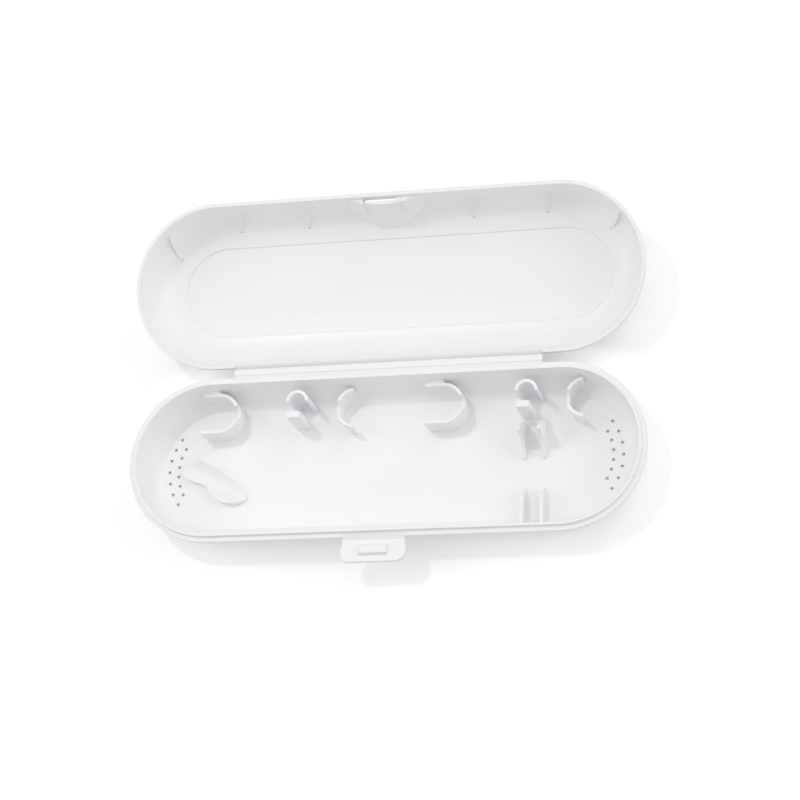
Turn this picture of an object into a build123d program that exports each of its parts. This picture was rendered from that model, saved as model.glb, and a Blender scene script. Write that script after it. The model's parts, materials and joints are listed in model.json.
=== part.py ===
from build123d import *
from math import asin, atan2, cos, degrees, hypot, radians, sin, sqrt, tan
import os

# Travel case for an electric toothbrush, moulded in white plastic and lying open on a table.
# Millimetres. X runs along the case, +Y points to the hinge and the open lid, +Z is up.
# The origin is the middle of the flat underside of the base.

# ------------------------------------------------------------------ driving dimensions
case_length = 240.0
case_width = 78.0
base_height = 19.0          # table to the ledge that the lid closes on
lid_depth = 23.0            # lid rim to the outside of its raised panel

# rims
rim_flange = 2.4            # height of the flange round both rims
ledge_width = 2.3           # flat of the base rim outside its lip
lip_height = 1.8
lip_width = 1.1
lip_side_clearance = 0.15
lip_top_clearance = 0.2
closed_gap = 0.2            # between the two rims when the case is shut

# base wall
base_wall = 1.8
base_floor = 1.8
base_draft = 4.5            # degrees
base_bend_height = 10.8     # where the wall starts to curve in
floor_inset = 10.5          # rim to the edge of the flat floor

# lid wall
lid_wall = 1.7
lid_draft = 11.3            # degrees
lid_bend_depth = 8.0
panel_inset = 18.0          # rim to the edge of the raised panel
panel_step = 0.9
panel_step_run = 0.3
panel_flat_radius = 13.0     # the panel rises a little outside this
panel_rise = 0.35

# air holes in the floor at both ends
vent_diameter = 1.5
vent_centre_inset = 1.0
outer_vent_radius = 26.7
inner_vent_radius = 22.3
outer_vent_count = 7
inner_vent_count = 6
outer_vent_fan = 72.0       # degrees covered by the outer row
inner_vent_fan = 59.0

# hinge strap between base and lid, joined to each by a thin web
strap_length = 144.8
strap_thickness = 1.2
web_thickness = 0.4
web_half_width = 0.5
web_end_clearance = 0.05
fold_reach = 0.9            # rim edge out to a fold
fold_drop = 1.5             # rim plane down to a fold
hinge_root_thickness = 1.2
hinge_root_shift = 0.3      # the root lies lower than its web by this much
hinge_ramp_run = 1.5        # the rim slopes down to the hinge over this width

# latch flap on the front, opposite the hinge
latch_place = -2.2          # middle of the latch along the case
latch_width = 29.0
latch_flare = 0.8
latch_length = 10.6
latch_thickness = 1.4
latch_corner = 3.6
latch_wide_corner = 5.8
latch_flare_start = 2.6
latch_flare_end = 4.4
latch_face_clearance = 0.15
latch_fold_drop = 0.6       # ledge down to the latch's fold
latch_ramp_run = 1.6
hook_length = 12.8
hook_height = 1.4
hook_crest = 4.0
hook_base = 4.6
hook_clearance = 0.25

# catch bar and finger scoop in the lid wall, where the latch closes
catch_window_width = 15.2
catch_window_depth = 2.2
catch_slot_width = 1.55
scoop_place = -0.7
scoop_top_radius = 45.0
scoop_top_inset = 5.4
scoop_foot_radius = 18.0
scoop_foot_inset = 13.9
scoop_shelf = 1.6

# six upright ribs inside the lid wall on the catch side
lid_rib_places = (-71.4, -38.3, 41.0, 75.3)
lid_rib_thickness = 1.4
lid_rib_height = 1.8
lid_rib_start = 3.0
lid_rib_end = 18.4
end_rib_angles = (133.0, 41.5)  # degrees from +X

# line of the two spare brushes, along the hinge side
brush_line_inset = 15.0     # rim to the line
cup_radius = 9.6
cup_leg = 8.4
holder_wall = 1.4
holder_height = 11.8
neck_dip_radius = 3.4
first_cup_share = -0.335    # places along the case, as shares of its length
unit_pitch_share = 0.44375
clip_share = 0.1584
stop_share = 0.2729
stop_radius = 9.5
stop_arc_start = 100.0      # degrees
stop_arc_size = 162.0

# neck clips: a flat finger in front of the neck and a half-round one behind it
near_finger_width = 6.0
near_finger_height = 18.5
near_finger_offset = 5.85
near_finger_thickness = 3.0
far_finger_radius = 5.2
far_finger_height = 17.4
far_finger_offset = 2.3
far_finger_shift = 1.3

# bed of the brush handle, along the latch side
line_spacing = 31.0         # brush line to handle line
handle_bed_radius = 15.6
handle_lift = 0.25
saddle_share = (0.2583, 0.2958)
saddle_thickness = 1.4
saddle_near_gap = 7.4
saddle_far_gap = 6.5
saddle_near_height = 5.8
saddle_far_height = 16.0
saddle_crest = 0.9
saddle_foot_run = 7.8
cradle_inset = 20.5         # case end to the cradle's tip
cradle_height = 4.0
cradle_trough_radius = 7.5
cradle_trough_lift = 1.2
cradle_trough_middle = (14.5, 1.8)
cradle_trough_heading = -27.0
cradle_outline = (          # from the tip, and from the handle line
    (0.0, 8.0),
    (4.5, 10.8),
    (12.2, 10.5),
    (18.5, 5.9),
    (29.0, -2.3),
    (31.4, -7.2),
    (28.0, -9.4),
    (20.5, -9.2),
    (15.3, -5.4),
    (11.5, -1.0),
    (5.0, 1.6),
    (1.0, 4.2),
)

# ------------------------------------------------------------------ worked out from them
end_radius = case_width / 2
straight_half = (case_length - case_width) / 2
headroom = 12.0
overcut = 1.0

base_frame = Plane.XY
lip_top = base_height + lip_height
lip_outer = end_radius - ledge_width
lip_inner = lip_outer - lip_width
flange_bottom = base_height - rim_flange

fold_y = end_radius + fold_reach
fold_z = base_height - fold_drop
strap_pitch = 2 * fold_drop + closed_gap
lid_fold_y = fold_y + strap_pitch
web_end = web_half_width - web_end_clearance

panel_radius = end_radius - panel_inset
outer_panel_radius = panel_radius + lid_wall
panel_inner_depth = lid_depth - lid_wall
# The shut lid goes over the base's lip, so its drafted wall clears the top of that lip.
lip_reach = lip_height - closed_gap
shelf_depth = lip_reach + lip_top_clearance
catch_bar_back = lip_outer + lip_side_clearance

# The open lid leans on the near edge of its raised panel, which sets its tilt.
lean_reach = fold_y - outer_panel_radius
lean_drop = lid_depth - fold_drop
lid_tilt = asin(-fold_z / hypot(lean_reach, lean_drop)) + atan2(lean_drop, lean_reach)
tilt_cos = cos(lid_tilt)
tilt_sin = sin(lid_tilt)
lid_middle_y = lid_fold_y + fold_y * tilt_cos - fold_drop * tilt_sin
lid_middle_z = fold_z + fold_y * tilt_sin + fold_drop * tilt_cos
lid_frame = Plane(origin=(0, lid_middle_y, lid_middle_z), x_dir=(1, 0, 0), z_dir=(0, -tilt_sin, tilt_cos))

brush_line = end_radius - brush_line_inset
handle_line = brush_line - line_spacing
handle_axis_z = base_floor + handle_bed_radius + handle_lift
holder_top = base_floor + holder_height
cup_places = [case_length * (first_cup_share + unit_pitch_share * unit) for unit in range(2)]
side_names = ("left", "right")


# ------------------------------------------------------------------ shared shapes
def section_plane(frame):
    """Upright plane across the start of the straight run, x outward and y up the frame's normal."""
    start = frame.from_local_coords((-straight_half, 0, 0))
    return Plane(origin=start, x_dir=frame.y_dir, z_dir=frame.x_dir)


def around_case(section, frame):
    """Carry a half section along both long sides and round both ends of the case."""
    left_axis = Axis(frame.from_local_coords((-straight_half, 0, 0)), frame.z_dir)
    right_axis = Axis(frame.from_local_coords((straight_half, 0, 0)), frame.z_dir)
    middle = Plane(origin=frame.origin, x_dir=frame.x_dir, z_dir=frame.y_dir)
    far_section = section.sketch.moved(Location(frame.x_dir * 2 * straight_half))
    with BuildPart() as body:
        extrude(section.sketch, amount=2 * straight_half, dir=frame.x_dir)
        mirror(about=middle)
        revolve(section.sketch, axis=left_axis, revolution_arc=180)
        revolve(far_section, axis=right_axis, revolution_arc=-180)
    return body.part


def bend_circle(start_radius, start_depth, foot_radius, foot_depth, draft):
    """Circle that leaves a drafted wall smoothly at its start and passes through its end.

    Depths are measured down from the rim and radii from the middle line of the case.
    """
    run = start_radius - foot_radius
    drop = foot_depth - start_depth
    half_turn = atan2(run, drop) - radians(draft)
    radius = hypot(run, drop) / (2 * sin(half_turn))
    centre_radius = start_radius - radius * cos(radians(draft))
    centre_depth = start_depth - radius * sin(radians(draft))
    return centre_radius, centre_depth, radius


# ------------------------------------------------------------------ base tray
base_lean = radians(base_draft)
base_heading = (-sin(base_lean), -cos(base_lean))
base_bend_radius = lip_inner - (lip_top - base_bend_height) * tan(base_lean)
floor_radius = end_radius - floor_inset
base_centre_radius, base_centre_depth, base_curve = bend_circle(
    base_bend_radius, lip_top - base_bend_height, floor_radius, lip_top - base_floor, base_draft
)
base_centre_z = lip_top - base_centre_depth
base_outer_curve = base_curve + base_wall
underside_radius = base_centre_radius + sqrt(base_outer_curve**2 - base_centre_z**2)
base_outer_start = (
    base_bend_radius + base_wall * cos(base_lean),
    base_bend_height - base_wall * sin(base_lean),
)
base_outer_top = base_outer_start[0] + (flange_bottom - base_outer_start[1]) * tan(base_lean)
base_bend = (base_bend_radius, base_bend_height)

with BuildSketch(section_plane(base_frame)) as base_section:
    with BuildLine():
        Polyline((0, base_floor), (0, 0), (underside_radius, 0))
        TangentArc(base_outer_start, (underside_radius, 0), tangent=base_heading)
        Polyline(
            base_outer_start,
            (base_outer_top, flange_bottom),
            (end_radius, flange_bottom),
            (end_radius, base_height),
            (lip_outer, base_height),
            (lip_outer, lip_top),
            (lip_inner, lip_top),
            base_bend,
        )
        TangentArc(base_bend, (floor_radius, base_floor), tangent=base_heading)
        Line((floor_radius, base_floor), (0, base_floor))
    make_face()

with BuildSketch(section_plane(base_frame)) as tray_space_section:
    with BuildLine():
        Line((0, base_floor), (floor_radius, base_floor))
        TangentArc(base_bend, (floor_radius, base_floor), tangent=base_heading)
        Polyline(
            base_bend,
            (lip_inner, lip_top),
            (lip_inner, lip_top + headroom),
            (0, lip_top + headroom),
            (0, base_floor),
        )
    make_face()

base_body = around_case(base_section, base_frame)
tray_space = around_case(tray_space_section, base_frame)

latch_fold_y = end_radius + latch_face_clearance + web_thickness / 2
latch_fold_height = base_height - latch_fold_drop
latch_top = latch_fold_height + web_thickness / 2
latch_root_y = latch_fold_y - web_half_width
root_start = base_outer_top - base_wall / 2
hinge_root_end = fold_y - web_half_width
hinge_root_top = fold_z + hinge_root_thickness / 2 - hinge_root_shift

with BuildPart() as base_tray:
    add(base_body)
    with BuildSketch(Plane.XY):
        for end, heading in ((-1, 180), (1, 0)):
            with Locations((end * (straight_half - vent_centre_inset), 0)):
                with PolarLocations(
                    outer_vent_radius,
                    outer_vent_count,
                    heading - outer_vent_fan / 2,
                    outer_vent_fan,
                    endpoint=True,
                ):
                    Circle(vent_diameter / 2)
                with PolarLocations(
                    inner_vent_radius,
                    inner_vent_count,
                    heading - inner_vent_fan / 2,
                    inner_vent_fan,
                    endpoint=True,
                ):
                    Circle(vent_diameter / 2)
    extrude(amount=base_height, mode=Mode.SUBTRACT)
    # root of the hinge, under the rim at the back
    with BuildSketch(Plane.XY.offset(hinge_root_top)):
        with Locations((0, root_start)):
            Rectangle(strap_length, hinge_root_end - root_start, align=(Align.CENTER, Align.MIN))
    extrude(amount=-hinge_root_thickness)
    # the rim slopes down to the hinge behind it and to the latch in front
    with BuildSketch(Plane.YZ):
        with BuildLine():
            Polyline(
                (hinge_root_end, hinge_root_top),
                (hinge_root_end - hinge_ramp_run, base_height),
                (hinge_root_end - hinge_ramp_run, base_height + overcut),
                (hinge_root_end + overcut, base_height + overcut),
                (hinge_root_end + overcut, hinge_root_top),
                close=True,
            )
        make_face()
    extrude(amount=strap_length / 2, both=True, mode=Mode.SUBTRACT)
    with BuildSketch(Plane.YZ.offset(latch_place)):
        with BuildLine():
            Polyline(
                (-latch_root_y, flange_bottom - overcut),
                (-latch_root_y, latch_top),
                (-latch_root_y + latch_ramp_run, base_height),
                (-latch_root_y + latch_ramp_run, base_height + overcut),
                (-end_radius - overcut, base_height + overcut),
                (-end_radius - overcut, flange_bottom - overcut),
                close=True,
            )
        make_face()
    extrude(amount=latch_width / 2, both=True, mode=Mode.SUBTRACT)
base_tray.part.label = "base_tray"


# ------------------------------------------------------------------ hinge
with BuildPart() as hinge_web_base:
    with BuildSketch(Plane.XY.offset(fold_z)):
        with Locations((0, hinge_root_end)):
            Rectangle(strap_length, web_half_width + web_end, align=(Align.CENTER, Align.MIN))
    extrude(amount=web_thickness / 2, both=True)
hinge_web_base.part.label = "hinge_web_base"

with BuildPart() as hinge_strap:
    with BuildSketch(Plane.XY.offset(fold_z)):
        with Locations((0, fold_y + web_half_width)):
            Rectangle(strap_length, strap_pitch - 2 * web_half_width, align=(Align.CENTER, Align.MIN))
    extrude(amount=strap_thickness / 2, both=True)
hinge_strap.part.label = "hinge_strap"

with BuildPart() as hinge_web_lid:
    with BuildSketch(lid_frame.offset(-fold_drop)):
        with Locations((0, -hinge_root_end)):
            Rectangle(strap_length, web_half_width + web_end, align=(Align.CENTER, Align.MAX))
    extrude(amount=web_thickness / 2, both=True)
hinge_web_lid.part.label = "hinge_web_lid"


# ------------------------------------------------------------------ lid
lid_lean = radians(lid_draft)
lid_heading = (-sin(lid_lean), -cos(lid_lean))
lid_rim_radius = lip_outer + lip_side_clearance + lip_reach * tan(lid_lean)
lid_bend_radius = lid_rim_radius - lid_bend_depth * tan(lid_lean)
step_radius = panel_radius + panel_step_run
step_depth = panel_inner_depth - panel_step
lid_centre_radius, lid_centre_depth, lid_curve = bend_circle(
    lid_bend_radius, lid_bend_depth, step_radius, step_depth, lid_draft
)
lid_outer_start = (lid_bend_radius + lid_wall * cos(lid_lean), -lid_bend_depth - lid_wall * sin(lid_lean))
lid_outer_top = lid_outer_start[0] - (rim_flange + lid_outer_start[1]) * tan(lid_lean)
outer_step_radius = outer_panel_radius + panel_step_run
outer_step_rise = sqrt((lid_curve + lid_wall) ** 2 - (outer_step_radius - lid_centre_radius) ** 2)
outer_step_depth = lid_centre_depth + outer_step_rise
lid_bend = (lid_bend_radius, -lid_bend_depth)
inner_step = (step_radius, -step_depth)
outer_step = (outer_step_radius, -outer_step_depth)
panel_edge = (panel_radius, -panel_inner_depth + panel_rise)
panel_flat = (panel_flat_radius, -panel_inner_depth)

with BuildSketch(section_plane(lid_frame)) as lid_section:
    with BuildLine():
        Polyline((0, -lid_depth), (0, -panel_inner_depth), panel_flat, panel_edge, inner_step)
        TangentArc(lid_bend, inner_step, tangent=lid_heading)
        Polyline(
            lid_bend,
            (lid_rim_radius, 0),
            (end_radius, 0),
            (end_radius, -rim_flange),
            (lid_outer_top, -rim_flange),
            lid_outer_start,
        )
        TangentArc(lid_outer_start, outer_step, tangent=lid_heading)
        Polyline(outer_step, (outer_panel_radius, -lid_depth), (0, -lid_depth))
    make_face()

with BuildSketch(section_plane(lid_frame)) as lid_space_section:
    with BuildLine():
        Polyline((0, 0), (0, -panel_inner_depth), panel_flat, panel_edge, inner_step)
        TangentArc(lid_bend, inner_step, tangent=lid_heading)
        Polyline(lid_bend, (lid_rim_radius, 0), (0, 0))
    make_face()

lid_body = around_case(lid_section, lid_frame)
lid_space = around_case(lid_space_section, lid_frame)

scoop_top_axis = end_radius - scoop_top_inset + scoop_top_radius
scoop_foot_axis = end_radius - scoop_foot_inset + scoop_foot_radius
slot_front = catch_bar_back - catch_slot_width
lid_root_start = lid_outer_top - lid_wall / 2
lid_ramp_foot = -fold_drop + hinge_root_thickness / 2 - hinge_root_shift


def scoop_cone(inset):
    """Slanting cone of the finger scoop, a given way inside the bulge's own surface."""
    with BuildPart() as cone:
        with BuildSketch(lid_frame.offset(-shelf_depth)):
            with Locations((scoop_place, scoop_top_axis)):
                Circle(scoop_top_radius - inset)
        with BuildSketch(lid_frame.offset(-panel_inner_depth)):
            with Locations((scoop_place, scoop_foot_axis)):
                Circle(scoop_foot_radius - inset)
        loft()
    return cone.part


with BuildPart() as scoop_bulge:
    add(scoop_cone(0))
    add(lid_space, mode=Mode.INTERSECT)

# the hollow of the scoop starts below a narrow shelf
with BuildPart() as scoop_hollow:
    add(scoop_cone(lid_wall))
    with BuildSketch(lid_frame.offset(-shelf_depth - scoop_shelf)):
        Rectangle(case_length, case_length)
    extrude(amount=scoop_shelf + overcut, mode=Mode.SUBTRACT)

with BuildPart() as lid_shell:
    add(lid_body)
    add(scoop_bulge.part)
    add(scoop_hollow.part, mode=Mode.SUBTRACT)
    # window under the catch bar, and the open slot behind the bar
    with BuildSketch(lid_frame.offset(-rim_flange)):
        with Locations((latch_place, slot_front)):
            Rectangle(catch_window_width, end_radius - slot_front + overcut, align=(Align.CENTER, Align.MIN))
    extrude(amount=-catch_window_depth, mode=Mode.SUBTRACT)
    with BuildSketch(lid_frame.offset(-rim_flange - catch_window_depth)):
        with Locations((latch_place, slot_front)):
            Rectangle(catch_window_width, catch_slot_width, align=(Align.CENTER, Align.MIN))
    extrude(amount=rim_flange + catch_window_depth, mode=Mode.SUBTRACT)
    # root of the hinge
    with BuildSketch(lid_frame.offset(lid_ramp_foot)):
        with Locations((0, -lid_root_start)):
            Rectangle(strap_length, hinge_root_end - lid_root_start, align=(Align.CENTER, Align.MAX))
    extrude(amount=-hinge_root_thickness)
    # the rim slopes down to the hinge
    with BuildSketch(Plane(origin=lid_frame.origin, x_dir=lid_frame.y_dir, z_dir=lid_frame.x_dir)):
        with BuildLine():
            Polyline(
                (-hinge_root_end, lid_ramp_foot),
                (-hinge_root_end + hinge_ramp_run, 0),
                (-hinge_root_end + hinge_ramp_run, overcut),
                (-hinge_root_end - overcut, overcut),
                (-hinge_root_end - overcut, lid_ramp_foot),
                close=True,
            )
        make_face()
    extrude(amount=strap_length / 2, both=True, mode=Mode.SUBTRACT)
lid_shell.part.label = "lid_shell"

# band along the inside of the lid wall, which the upright ribs are slices of
rib_start_radius = lid_rim_radius - lid_rib_start * tan(lid_lean)
rib_bend = (
    lid_bend_radius - lid_rib_height * cos(lid_lean),
    -lid_bend_depth + lid_rib_height * sin(lid_lean),
)
rib_top = (rib_start_radius - lid_rib_height, -lid_rib_start)
rib_foot = (lid_centre_radius + sqrt(lid_curve**2 - (lid_rib_end - lid_centre_depth) ** 2), -lid_rib_end)

with BuildSketch(section_plane(lid_frame)) as rib_band_section:
    with BuildLine():
        Line((rib_start_radius, -lid_rib_start), lid_bend)
        TangentArc(lid_bend, rib_foot, tangent=lid_heading)
        TangentArc(rib_bend, rib_foot, tangent=lid_heading)
        Polyline(rib_bend, rib_top, (rib_start_radius, -lid_rib_start))
    make_face()

rib_band = around_case(rib_band_section, lid_frame)
rib_slices = [(place, 90) for place in lid_rib_places]
rib_slices += list(zip((-straight_half, straight_half), end_rib_angles))
lid_ribs = []
for rib_x, heading in rib_slices:
    slice_origin = lid_frame.from_local_coords((rib_x, 0, 0))
    slice_plane = Plane(origin=slice_origin, x_dir=lid_frame.x_dir, z_dir=lid_frame.z_dir)
    with BuildPart() as lid_rib:
        add(rib_band)
        with BuildSketch(slice_plane.rotated((0, 0, heading))):
            Rectangle(case_width, lid_rib_thickness, align=(Align.MIN, Align.CENTER))
        extrude(amount=-lid_depth, mode=Mode.INTERSECT)
    lid_ribs.append(lid_rib)


# ------------------------------------------------------------------ latch
flap_start = latch_fold_y + web_half_width
flap_end = flap_start + latch_length
closed_bar_top = base_height + closed_gap + rim_flange
hook_start = closed_bar_top + hook_clearance - latch_fold_height
half_latch = latch_width / 2

with BuildPart() as latch_web:
    with BuildSketch(Plane.XY.offset(latch_fold_height)):
        with Locations((latch_place, -latch_root_y)):
            Rectangle(latch_width, web_half_width + web_end, align=(Align.CENTER, Align.MAX))
    extrude(amount=web_thickness / 2, both=True)
latch_web.part.label = "latch_web"

with BuildPart() as latch_flap:
    with BuildSketch(Plane.XY.offset(latch_top)) as flap_plan:
        with BuildLine():
            Polyline(
                (latch_place - half_latch, -flap_start),
                (latch_place - half_latch, -flap_start - latch_flare_start),
                (latch_place - half_latch - latch_flare, -flap_start - latch_flare_end),
                (latch_place - half_latch - latch_flare, -flap_end),
                (latch_place + half_latch + latch_flare, -flap_end),
                (latch_place + half_latch + latch_flare, -flap_start - latch_flare_end),
                (latch_place + half_latch, -flap_start - latch_flare_start),
                (latch_place + half_latch, -flap_start),
                close=True,
            )
        make_face()
        fillet(flap_plan.vertices().group_by(Axis.Y)[0].sort_by(Axis.X)[0], latch_corner)
        fillet(flap_plan.vertices().group_by(Axis.Y)[0].sort_by(Axis.X)[-1], latch_wide_corner)
    extrude(amount=-latch_thickness)
latch_flap.part.label = "latch_flap"

with BuildPart() as latch_hook:
    with BuildSketch(Plane.YZ.offset(latch_place)):
        with BuildLine():
            Polyline(
                (-latch_fold_y - hook_start, latch_top),
                (-latch_fold_y - hook_start, latch_top + hook_height),
                (-latch_fold_y - hook_start - hook_crest, latch_top + hook_height),
                (-latch_fold_y - hook_start - hook_base, latch_top),
                close=True,
            )
        make_face()
    extrude(amount=hook_length / 2, both=True)
latch_hook.part.label = "latch_hook"


# ------------------------------------------------------------------ holders of the spare brushes
def holder_walls(plan):
    """Stand a traced plan on the floor, dip it for the neck and trim it to the tray."""
    with BuildPart() as holder:
        extrude(plan.sketch, amount=holder_top)
        add(tray_space, mode=Mode.INTERSECT)
    return holder.part


brush_cups = []
head_stops = []
neck_clips = []
for cup_x in cup_places:
    middle_radius = cup_radius - holder_wall / 2
    with BuildSketch(Plane.XY) as cup_plan:
        with BuildLine():
            Line((cup_x - cup_leg, brush_line - middle_radius), (cup_x, brush_line - middle_radius))
            CenterArc((cup_x, brush_line), middle_radius, -90, 180)
            Line((cup_x, brush_line + middle_radius), (cup_x - cup_leg, brush_line + middle_radius))
        trace(line_width=holder_wall)
        # the far leg is solid back to the wall of the tray
        with Locations((cup_x, brush_line + middle_radius)):
            Rectangle(cup_leg, brush_line_inset - middle_radius, align=(Align.MAX, Align.MIN))
    cup_walls = holder_walls(cup_plan)
    with BuildPart() as brush_cup:
        add(cup_walls)
        with BuildSketch(Plane.YZ.offset(cup_x)):
            with Locations((brush_line, holder_top)):
                Circle(neck_dip_radius)
        extrude(amount=cup_radius + overcut, mode=Mode.SUBTRACT)
    brush_cups.append(brush_cup)

    stop_x = cup_x + stop_share * case_length
    with BuildSketch(Plane.XY) as stop_plan:
        with BuildLine():
            CenterArc((stop_x, brush_line), stop_radius - holder_wall / 2, stop_arc_start, stop_arc_size)
        trace(line_width=holder_wall)
    stop_walls = holder_walls(stop_plan)
    with BuildPart() as head_stop:
        add(stop_walls)
        with BuildSketch(Plane.YZ.offset(stop_x)):
            with Locations((brush_line, holder_top)):
                Circle(neck_dip_radius)
        extrude(amount=-(stop_radius + overcut), mode=Mode.SUBTRACT)
    head_stops.append(head_stop)

    clip_x = cup_x + clip_share * case_length
    with BuildSketch(Plane.XY) as far_finger_plan:
        with BuildLine():
            CenterArc(
                (clip_x + far_finger_shift, brush_line + far_finger_offset),
                far_finger_radius - holder_wall / 2,
                0,
                180,
            )
        trace(line_width=holder_wall)
    with BuildPart() as neck_clip:
        with BuildSketch(Plane.XY):
            with Locations((clip_x, brush_line - near_finger_offset)):
                Rectangle(near_finger_width, near_finger_thickness, align=(Align.CENTER, Align.MIN))
        extrude(amount=base_floor + near_finger_height)
        extrude(far_finger_plan.sketch, amount=base_floor + far_finger_height)
        add(tray_space, mode=Mode.INTERSECT)
    neck_clips.append(neck_clip)


# ------------------------------------------------------------------ bed of the handle
def handle_bed():
    """Round space that the handle fills, along the whole case."""
    with BuildPart() as bed:
        with BuildSketch(Plane.YZ.offset(-case_length / 2)):
            with Locations((handle_line, handle_axis_z)):
                Circle(handle_bed_radius)
        extrude(amount=case_length)
    return bed.part


bed_space = handle_bed()
far_front = handle_line + saddle_far_gap
far_top = base_floor + saddle_far_height
crest_end = (handle_line + handle_bed_radius + saddle_crest, far_top)
saddle_foot = (handle_line + handle_bed_radius + saddle_foot_run, 0)
near_back = handle_line - saddle_near_gap
saddle_ribs = []
for share in saddle_share:
    with BuildPart() as saddle_rib:
        with BuildSketch(Plane.YZ.offset(share * case_length - saddle_thickness / 2)):
            with BuildLine():
                Polyline(saddle_foot, (far_front, 0), (far_front, far_top), crest_end)
                TangentArc(saddle_foot, crest_end, tangent=(0, 1))
            make_face()
            with Locations((near_back, 0)):
                Rectangle(end_radius, base_floor + saddle_near_height, align=(Align.MAX, Align.MIN))
        extrude(amount=saddle_thickness)
        add(bed_space, mode=Mode.SUBTRACT)
        add(tray_space, mode=Mode.INTERSECT)
    saddle_ribs.append(saddle_rib)

# The cradle is a low leaf-shaped pad at the handle's foot end, hollowed by a slanting trough.
cradle_x = -case_length / 2 + cradle_inset
trough_middle = (
    cradle_x + cradle_trough_middle[0],
    handle_line + cradle_trough_middle[1],
    base_floor + cradle_trough_lift + cradle_trough_radius,
)
trough_way = (cos(radians(cradle_trough_heading)), sin(radians(cradle_trough_heading)), 0)
with BuildPart() as handle_cradle:
    with BuildSketch(Plane.XY):
        with BuildLine():
            outline = [(cradle_x + along, handle_line + across) for along, across in cradle_outline]
            Spline(outline, periodic=True)
        make_face()
    extrude(amount=base_floor + cradle_height)
    with BuildSketch(Plane(origin=trough_middle, z_dir=trough_way)):
        Circle(cradle_trough_radius)
    extrude(amount=case_width, both=True, mode=Mode.SUBTRACT)
    add(tray_space, mode=Mode.INTERSECT)
handle_cradle.part.label = "handle_cradle"

# ------------------------------------------------------------------ write the pieces
os.makedirs("parts", exist_ok=True)
export_step(base_tray.part, "parts/base_tray.step")
export_step(hinge_web_base.part, "parts/hinge_web_base.step")
export_step(hinge_strap.part, "parts/hinge_strap.step")
export_step(hinge_web_lid.part, "parts/hinge_web_lid.step")
export_step(lid_shell.part, "parts/lid_shell.step")
export_step(latch_web.part, "parts/latch_web.step")
export_step(latch_flap.part, "parts/latch_flap.step")
export_step(latch_hook.part, "parts/latch_hook.step")
export_step(handle_cradle.part, "parts/handle_cradle.step")

for side, cup, stop, clip in zip(side_names, brush_cups, head_stops, neck_clips):
    cup.part.label = f"brush_cup_{side}"
    stop.part.label = f"head_stop_{side}"
    clip.part.label = f"neck_clip_{side}"
    export_step(cup.part, f"parts/brush_cup_{side}.step")
    export_step(stop.part, f"parts/head_stop_{side}.step")
    export_step(clip.part, f"parts/neck_clip_{side}.step")

for side, rib in zip(side_names, saddle_ribs):
    rib.part.label = f"saddle_rib_{side}"
    export_step(rib.part, f"parts/saddle_rib_{side}.step")

for number, rib in enumerate(lid_ribs, start=1):
    rib.part.label = f"lid_rib_{number}"
    export_step(rib.part, f"parts/lid_rib_{number}.step")

print(f"lid tilt {degrees(lid_tilt):.3f} deg, lid fold y {lid_fold_y:.3f}, z {fold_z:.3f}")
print(f"latch fold y {-latch_fold_y:.3f}, z {latch_fold_height:.3f}")
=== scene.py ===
import json
import math

import bmesh
import bpy
from mathutils import Matrix, Vector


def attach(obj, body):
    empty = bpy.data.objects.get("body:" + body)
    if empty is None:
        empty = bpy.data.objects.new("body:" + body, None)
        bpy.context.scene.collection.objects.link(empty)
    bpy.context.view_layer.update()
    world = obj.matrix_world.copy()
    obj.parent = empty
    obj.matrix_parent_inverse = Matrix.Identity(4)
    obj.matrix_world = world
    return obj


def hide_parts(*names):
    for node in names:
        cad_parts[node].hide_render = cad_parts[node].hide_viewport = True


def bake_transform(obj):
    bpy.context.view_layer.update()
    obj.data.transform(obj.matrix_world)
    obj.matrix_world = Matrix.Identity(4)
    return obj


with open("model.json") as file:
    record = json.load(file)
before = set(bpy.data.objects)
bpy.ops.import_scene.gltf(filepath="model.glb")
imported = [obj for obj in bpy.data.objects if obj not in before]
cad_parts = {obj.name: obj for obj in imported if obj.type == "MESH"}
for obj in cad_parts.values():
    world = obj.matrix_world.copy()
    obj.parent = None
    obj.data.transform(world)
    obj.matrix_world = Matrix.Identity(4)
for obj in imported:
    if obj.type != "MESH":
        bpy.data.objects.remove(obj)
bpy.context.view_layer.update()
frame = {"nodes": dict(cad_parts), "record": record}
nodes = frame["nodes"]
joints = {joint["name"]: joint for joint in frame["record"]["behaviour"]["joints"]}
scene = bpy.context.scene
scene.view_settings.view_transform = "Standard"

# ------------------------------------------------------------------ camera
PHOTO_SIZE = 800
CAMERA_FOCAL_PX = 2409.4
CAMERA_AZIMUTH = math.radians(37.836)
CAMERA_ELEVATION = math.radians(65.982)
CAMERA_ROLL = math.radians(-38.089)
CAMERA_DISTANCE = 1.078844
CAMERA_SLIDE = (0.0085633, 0.0230266)
CAMERA_AIM_HEIGHT = 0.0203
CAMERA_SIGHT = (0.05, 20.0)
SENSOR_WIDTH = 36.0


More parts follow.
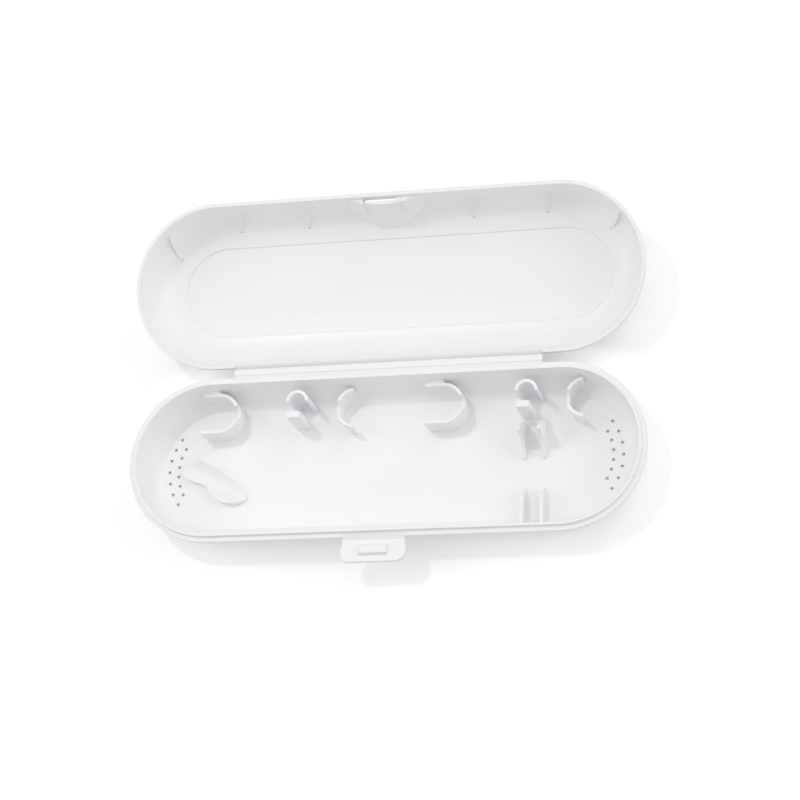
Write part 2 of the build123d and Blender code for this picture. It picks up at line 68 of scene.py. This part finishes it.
def make_camera():
    """The photograph's camera: it looks steeply down from the front right, turned in its own plane."""
    toward = Vector((
        -math.sin(CAMERA_AZIMUTH) * math.cos(CAMERA_ELEVATION),
        math.cos(CAMERA_AZIMUTH) * math.cos(CAMERA_ELEVATION),
        -math.sin(CAMERA_ELEVATION),
    ))
    level = toward.cross(Vector((0, 0, 1))).normalized()
    upward = level.cross(toward)
    right = level * math.cos(CAMERA_ROLL) + upward * math.sin(CAMERA_ROLL)
    up = upward * math.cos(CAMERA_ROLL) - level * math.sin(CAMERA_ROLL)
    place = right * CAMERA_SLIDE[0] + up * CAMERA_SLIDE[1] - toward * CAMERA_DISTANCE
    place += Vector((0, 0, CAMERA_AIM_HEIGHT))
    data = bpy.data.cameras.new("photo_camera")
    data.sensor_fit = "HORIZONTAL"
    data.sensor_width = SENSOR_WIDTH
    data.lens = CAMERA_FOCAL_PX / PHOTO_SIZE * SENSOR_WIDTH
    data.clip_start, data.clip_end = CAMERA_SIGHT
    camera = bpy.data.objects.new("photo_camera", data)
    turn = Matrix((right, up, -toward)).transposed()
    camera.matrix_world = Matrix.Translation(place) @ turn.to_4x4()
    scene.collection.objects.link(camera)
    scene.camera = camera


# ------------------------------------------------------------------ light and floor
LIGHT_AIM = Vector((0.0, 0.03, 0.01))
LIGHT_DISTANCE = 1.6
AMBIENT = 0.60
# name, azimuth from +X towards +Y, elevation, disk size in metres, power in watts
SOFTBOXES = (
    ("softbox_back", 90.0, 65.0, 0.9, 0.6),
    ("softbox_corner", 45.0, 40.0, 0.9, 2.6),
    ("softbox_right", 0.0, 25.0, 0.9, 4.2),
    ("softbox_top", 0.0, 90.0, 0.9, 0.3),
    ("softbox_front", 270.0, 40.0, 0.9, 0.15),
    ("softbox_left", 180.0, 35.0, 0.9, 3.4),
    ("key", 140.1, 65.9, 0.13, 2.8),
)


def seen_rays(tree):
    """1 for rays that show the background: from the camera, in a reflection or through a clear piece."""
    ray = tree.nodes.new("ShaderNodeLightPath")
    seen = ray.outputs["Is Camera Ray"]
    for other in ("Is Glossy Ray", "Is Transmission Ray"):
        either = tree.nodes.new("ShaderNodeMath")
        either.operation = "MAXIMUM"
        tree.links.new(seen, either.inputs[0])
        tree.links.new(ray.outputs[other], either.inputs[1])
        seen = either.outputs["Value"]
    return seen


def between(tree, value, low, high):
    """Go from low to high as a value goes from 0 to 1."""
    node = tree.nodes.new("ShaderNodeMapRange")
    node.inputs["To Min"].default_value = low
    node.inputs["To Max"].default_value = high
    tree.links.new(value, node.inputs["Value"])
    return node.outputs["Result"]


def make_light():
    """A white world, which lights the object at the ambient level, and softboxes round it."""
    world = bpy.data.worlds.new("studio")
    scene.world = world
    world.use_nodes = True
    tree = world.node_tree
    tree.nodes.clear()
    out = tree.nodes.new("ShaderNodeOutputWorld")
    sky = tree.nodes.new("ShaderNodeBackground")
    sky.inputs["Color"].default_value = (1.0, 1.0, 1.0, 1.0)
    tree.links.new(between(tree, seen_rays(tree), AMBIENT, 1.0), sky.inputs["Strength"])
    tree.links.new(sky.outputs[0], out.inputs[0])
    for name, azimuth, elevation, size, power in SOFTBOXES:
        level, height = math.radians(azimuth), math.radians(elevation)
        way = Vector((
            math.cos(height) * math.cos(level),
            math.cos(height) * math.sin(level),
            math.sin(height),
        ))
        lamp = bpy.data.lights.new(name, "AREA")
        lamp.shape = "DISK"
        lamp.size = size
        lamp.energy = power
        softbox = bpy.data.objects.new(name, lamp)
        softbox.location = LIGHT_AIM + way * LIGHT_DISTANCE
        softbox.rotation_mode = "QUATERNION"
        softbox.rotation_quaternion = (-way).to_track_quat("-Z", "Y")
        scene.collection.objects.link(softbox)


FLOOR_HALF = 3.0
FLOOR_DROP = 0.0002
FLOOR_TONE = 0.85
FLOOR_SEEN_TONE = 0.98
FLOOR_ROUGHNESS = 0.9
FLOOR_SPECULAR = 0.2
FLOOR_LIFT = 0.17
# painted light: an oval patch of floor under the hinge glows brighter to the camera, painting out part of
# the shadow in the gap, and fades over the last fifth of its reach
GAP_PAINTED_LIGHT = 0.36
PAINTED_LIGHT_MIDDLE = (0.0, 0.042)
PAINTED_LIGHT_REACH = (0.122, 0.02)
PAINTED_LIGHT_FADE_START = 0.8


def floor_material():
    """Pale paper; the camera sees it lifted towards white, and still sees the object's shadow, except
    beside the hinge, where a patch of painted light weakens it.
    """
    material = bpy.data.materials.new("floor_white")
    material.use_nodes = True
    tree = material.node_tree
    shader = tree.nodes["Principled BSDF"]
    shader.inputs["Roughness"].default_value = FLOOR_ROUGHNESS
    shader.inputs["Specular IOR Level"].default_value = FLOOR_SPECULAR
    shader.inputs["Emission Color"].default_value = (1.0, 1.0, 1.0, 1.0)
    seen = seen_rays(tree)
    tree.links.new(between(tree, seen, FLOOR_TONE, FLOOR_SEEN_TONE), shader.inputs["Base Color"])

    # Painted light: the floor glows brighter to the camera in the gap between the two rims, beside the
    # hinge, weakening the shadow there.
    # With the lid shut, the same patch of floor shows behind the base.
    place = tree.nodes.new("ShaderNodeTexCoord")
    centred = tree.nodes.new("ShaderNodeMapping")
    centred.vector_type = "TEXTURE"
    centred.inputs["Location"].default_value = (*PAINTED_LIGHT_MIDDLE, 0.0)
    centred.inputs["Scale"].default_value = (*PAINTED_LIGHT_REACH, 1.0)
    reach = tree.nodes.new("ShaderNodeVectorMath")
    reach.operation = "LENGTH"
    lift_and_painted_light = tree.nodes.new("ShaderNodeMapRange")
    lift_and_painted_light.inputs["From Min"].default_value = PAINTED_LIGHT_FADE_START
    lift_and_painted_light.inputs["From Max"].default_value = 1.0
    lift_and_painted_light.inputs["To Min"].default_value = GAP_PAINTED_LIGHT
    lift_and_painted_light.inputs["To Max"].default_value = FLOOR_LIFT
    glow_and_painted_light = tree.nodes.new("ShaderNodeMath")
    glow_and_painted_light.operation = "MULTIPLY"
    tree.links.new(place.outputs["Object"], centred.inputs["Vector"])
    tree.links.new(centred.outputs["Vector"], reach.inputs[0])
    tree.links.new(reach.outputs["Value"], lift_and_painted_light.inputs["Value"])
    tree.links.new(lift_and_painted_light.outputs["Result"], glow_and_painted_light.inputs[0])
    tree.links.new(seen, glow_and_painted_light.inputs[1])
    tree.links.new(glow_and_painted_light.outputs["Value"], shader.inputs["Emission Strength"])
    return material


def make_floor():
    """A wide plain floor just under the case."""
    mesh = bpy.data.meshes.new("floor")
    bm = bmesh.new()
    bmesh.ops.create_grid(bm, x_segments=1, y_segments=1, size=FLOOR_HALF)
    bm.to_mesh(mesh)
    bm.free()
    mesh.materials.append(floor_material())
    floor = bpy.data.objects.new("floor", mesh)
    floor.location.z = -FLOOR_DROP
    scene.collection.objects.link(floor)


# ------------------------------------------------------------------ materials
NOISE_MIDDLE = (0.3, 0.7)
CLOUD_SCALE = 24.0
SPECK_SCALE = 1400.0
WAVE_SCALE = 60.0
CLOUD_SHADE = 0.985
SPECK_SHADE = 0.985
SPECK_GLOSS = 0.03
BEVEL_SAMPLES = 4
WAVE_STRENGTH = 0.25
WAVE_DEPTH = 0.00012
GRAIN_DEPTH = 0.00003


def noise(tree, place, scale, detail, roughness=0.5):
    node = tree.nodes.new("ShaderNodeTexNoise")
    node.inputs["Scale"].default_value = scale
    node.inputs["Detail"].default_value = detail
    node.inputs["Roughness"].default_value = roughness
    tree.links.new(place, node.inputs["Vector"])
    return node.outputs["Fac"]


def spread(tree, value, low, high):
    """Map the middle of a noise value to a range."""
    node = tree.nodes.new("ShaderNodeMapRange")
    node.inputs["From Min"].default_value = NOISE_MIDDLE[0]
    node.inputs["From Max"].default_value = NOISE_MIDDLE[1]
    node.inputs["To Min"].default_value = low
    node.inputs["To Max"].default_value = high
    tree.links.new(value, node.inputs["Value"])
    return node.outputs["Result"]


def plastic(name, colour, gloss, edge, grain):
    """Moulded white plastic: cloudy tone, fine speckle, uneven gloss, grain, slow waves and soft edges."""
    material = bpy.data.materials.new(name)
    material.use_nodes = True
    tree = material.node_tree
    shader = tree.nodes["Principled BSDF"]
    place = tree.nodes.new("ShaderNodeTexCoord").outputs["Object"]
    cloud = noise(tree, place, CLOUD_SCALE, 3.0)
    speck = noise(tree, place, SPECK_SCALE, 2.0, 0.7)
    wave = noise(tree, place, WAVE_SCALE, 1.0)

    tone = tree.nodes.new("ShaderNodeMix")
    tone.data_type = "RGBA"
    tone.inputs["A"].default_value = (*[c * CLOUD_SHADE for c in colour], 1.0)
    tone.inputs["B"].default_value = (*colour, 1.0)
    tree.links.new(spread(tree, cloud, 0.0, 1.0), tone.inputs["Factor"])
    fleck = tree.nodes.new("ShaderNodeMix")
    fleck.data_type = "RGBA"
    fleck.blend_type = "MULTIPLY"
    fleck.inputs["B"].default_value = (SPECK_SHADE, SPECK_SHADE, SPECK_SHADE, 1.0)
    tree.links.new(spread(tree, speck, 0.0, 1.0), fleck.inputs["Factor"])
    tree.links.new(tone.outputs["Result"], fleck.inputs["A"])
    tree.links.new(fleck.outputs["Result"], shader.inputs["Base Color"])

    sheen = tree.nodes.new("ShaderNodeMath")
    sheen.operation = "ADD"
    tree.links.new(spread(tree, cloud, gloss[0], gloss[1]), sheen.inputs[0])
    tree.links.new(spread(tree, speck, -SPECK_GLOSS, SPECK_GLOSS), sheen.inputs[1])
    tree.links.new(sheen.outputs["Value"], shader.inputs["Roughness"])

    soft = tree.nodes.new("ShaderNodeBevel")
    soft.samples = BEVEL_SAMPLES
    soft.inputs["Radius"].default_value = edge
    slow = tree.nodes.new("ShaderNodeBump")
    slow.inputs["Strength"].default_value = WAVE_STRENGTH
    slow.inputs["Distance"].default_value = WAVE_DEPTH
    tree.links.new(wave, slow.inputs["Height"])
    tree.links.new(soft.outputs["Normal"], slow.inputs["Normal"])
    fine = tree.nodes.new("ShaderNodeBump")
    fine.inputs["Strength"].default_value = grain
    fine.inputs["Distance"].default_value = GRAIN_DEPTH
    tree.links.new(speck, fine.inputs["Height"])
    tree.links.new(slow.outputs["Normal"], fine.inputs["Normal"])
    tree.links.new(fine.outputs["Normal"], shader.inputs["Normal"])
    return material


WHITE = (0.928, 0.928, 0.942)
# slot: roughness range, radius of the softened edges in metres, strength of the grain
PLASTICS = {
    "base_plastic": ((0.36, 0.44), 0.00025, 0.12),
    "holder_plastic": ((0.38, 0.46), 0.00012, 0.12),
    "lid_plastic": ((0.34, 0.42), 0.0005, 0.12),
    "hinge_plastic": ((0.40, 0.48), 0.0002, 0.08),
    "latch_plastic": ((0.36, 0.44), 0.0007, 0.12),
}
materials = {slot: plastic(slot, WHITE, *look) for slot, look in PLASTICS.items()}


# ------------------------------------------------------------------ pieces made here
STRAP_FOLD = Vector(joints["strap_fold"]["pos_m"])
LID_FOLD = Vector(joints["lid_fold"]["pos_m"])
LATCH_FOLD = Vector(joints["latch_fold"]["pos_m"])
LID_TILT = math.radians(90.0 - joints["lid_fold"]["range_deg"][1])
# along X, in metres
STRAP_ENDS = (-0.0724, 0.0724)
LATCH_ENDS = (-0.0167, 0.0123)
GUSSET_LEFT_ENDS = (-0.0114, -0.0098)
GUSSET_RIGHT_ENDS = (0.0086, 0.0102)
SCREEN_ENDS = (-0.00975, 0.00535)
LID_MIDDLE_FROM_FOLD = Vector((0.0, 0.0399, 0.0015))

# Y and Z in millimetres, from the fold: over the top, then back underneath
MM_PER_METRE = 1000
STRAP_WEB = [
    (-0.56, 0.28), (-0.3, 0.2), (-0.1, 0.16), (0.1, 0.17), (0.3, 0.28), (0.55, 0.5),
    (0.55, -0.45), (0.3, -0.22), (0.1, -0.13), (-0.1, -0.13), (-0.3, -0.24), (-0.56, -0.5),
]
LATCH_WEB = [
    (0.56, 0.2), (0.25, 0.18), (0.0, 0.16), (-0.25, 0.18), (-0.56, 0.2),
    (-0.56, -0.6), (-0.25, -0.25), (0.0, -0.16), (0.25, -0.25), (0.56, -0.6),
]
# Y and Z in millimetres, in the lid's own frame
CATCH_GUSSET = [
    (36.7, -1.95), (35.35, -1.95), (35.35, -0.8), (34.3, -0.8),
    (30.4, -8.0), (30.2, -9.6), (32.4, -11.0), (36.0, -5.0),
]
CATCH_SCREEN = [(36.45, -4.15), (36.88, -4.15), (36.88, -1.95), (36.45, -1.95)]


def prism(name, ends, outline, slot_name):
    """A closed outline in Y and Z, swept along X between two ends."""
    mesh = bpy.data.meshes.new(name)
    bm = bmesh.new()
    rings = [[bm.verts.new((x, y, z)) for y, z in outline] for x in ends]
    bm.faces.new(rings[0])
    bm.faces.new(list(reversed(rings[1])))
    for i in range(len(outline)):
        j = (i + 1) % len(outline)
        bm.faces.new((rings[0][j], rings[0][i], rings[1][i], rings[1][j]))
    bmesh.ops.recalc_face_normals(bm, faces=bm.faces)
    bm.to_mesh(mesh)
    bm.free()
    mesh.materials.append(materials[slot_name])
    piece = bpy.data.objects.new(name, mesh)
    scene.collection.objects.link(piece)
    return piece


def bending_web(name, ends, fold, outline, slot_name, replaced):
    """A thin web shaped round a fold; its outline starts on the side of the first body."""
    points = [(fold.y + y / MM_PER_METRE, fold.z + z / MM_PER_METRE) for y, z in outline]
    web = prism(name, ends, points, slot_name)
    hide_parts(replaced)
    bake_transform(web)


def mirrored_on_the_lid(outline):
    """The same web from the lid's side: its lid half leans with the lid."""
    mirrored = []
    for y, z in outline:
        turn = LID_TILT if y < 0 else 0.0
        mirrored.append((
            -y * math.cos(turn) - z * math.sin(turn),
            -y * math.sin(turn) + z * math.cos(turn),
        ))
    return mirrored


def make_webs():
    """The living hinges, in place of the three rigid webs."""
    bending_web(
        "base_side_web", STRAP_ENDS, STRAP_FOLD, STRAP_WEB,
        "hinge_plastic", "hinge_web_base",
    )
    bending_web(
        "lid_side_web", STRAP_ENDS, LID_FOLD, mirrored_on_the_lid(STRAP_WEB),
        "hinge_plastic", "hinge_web_lid",
    )
    bending_web(
        "latch_side_web", LATCH_ENDS, LATCH_FOLD, LATCH_WEB,
        "latch_plastic", "latch_web",
    )


def lid_outline(outline):
    """Put an outline of the lid's own frame in the shared frame."""
    turn = Matrix.Rotation(LID_TILT, 4, "X")
    middle = LID_FOLD + turn @ LID_MIDDLE_FROM_FOLD
    places = [
        middle + turn @ Vector((0.0, y / MM_PER_METRE, z / MM_PER_METRE))
        for y, z in outline
    ]
    return [(place.y, place.z) for place in places]


def make_catch_parts():
    """Two thin upright gussets beside the catch slot and a thin screen behind its bar."""
    for name, ends, outline in (
        ("catch_gusset_left", GUSSET_LEFT_ENDS, CATCH_GUSSET),
        ("catch_gusset_right", GUSSET_RIGHT_ENDS, CATCH_GUSSET),
        ("catch_screen", SCREEN_ENDS, CATCH_SCREEN),
    ):
        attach(prism(name, ends, lid_outline(outline), "lid_plastic"), "lid")


def dress_cad_nodes():
    """Give each CAD node the material of its slot."""
    for entry in frame["record"]["subparts"]:
        node = nodes[entry["node"]]
        node.data.materials.clear()
        node.data.materials.append(materials[entry["material_slot"]])


make_camera()
make_light()
make_floor()
dress_cad_nodes()
make_webs()
make_catch_parts()
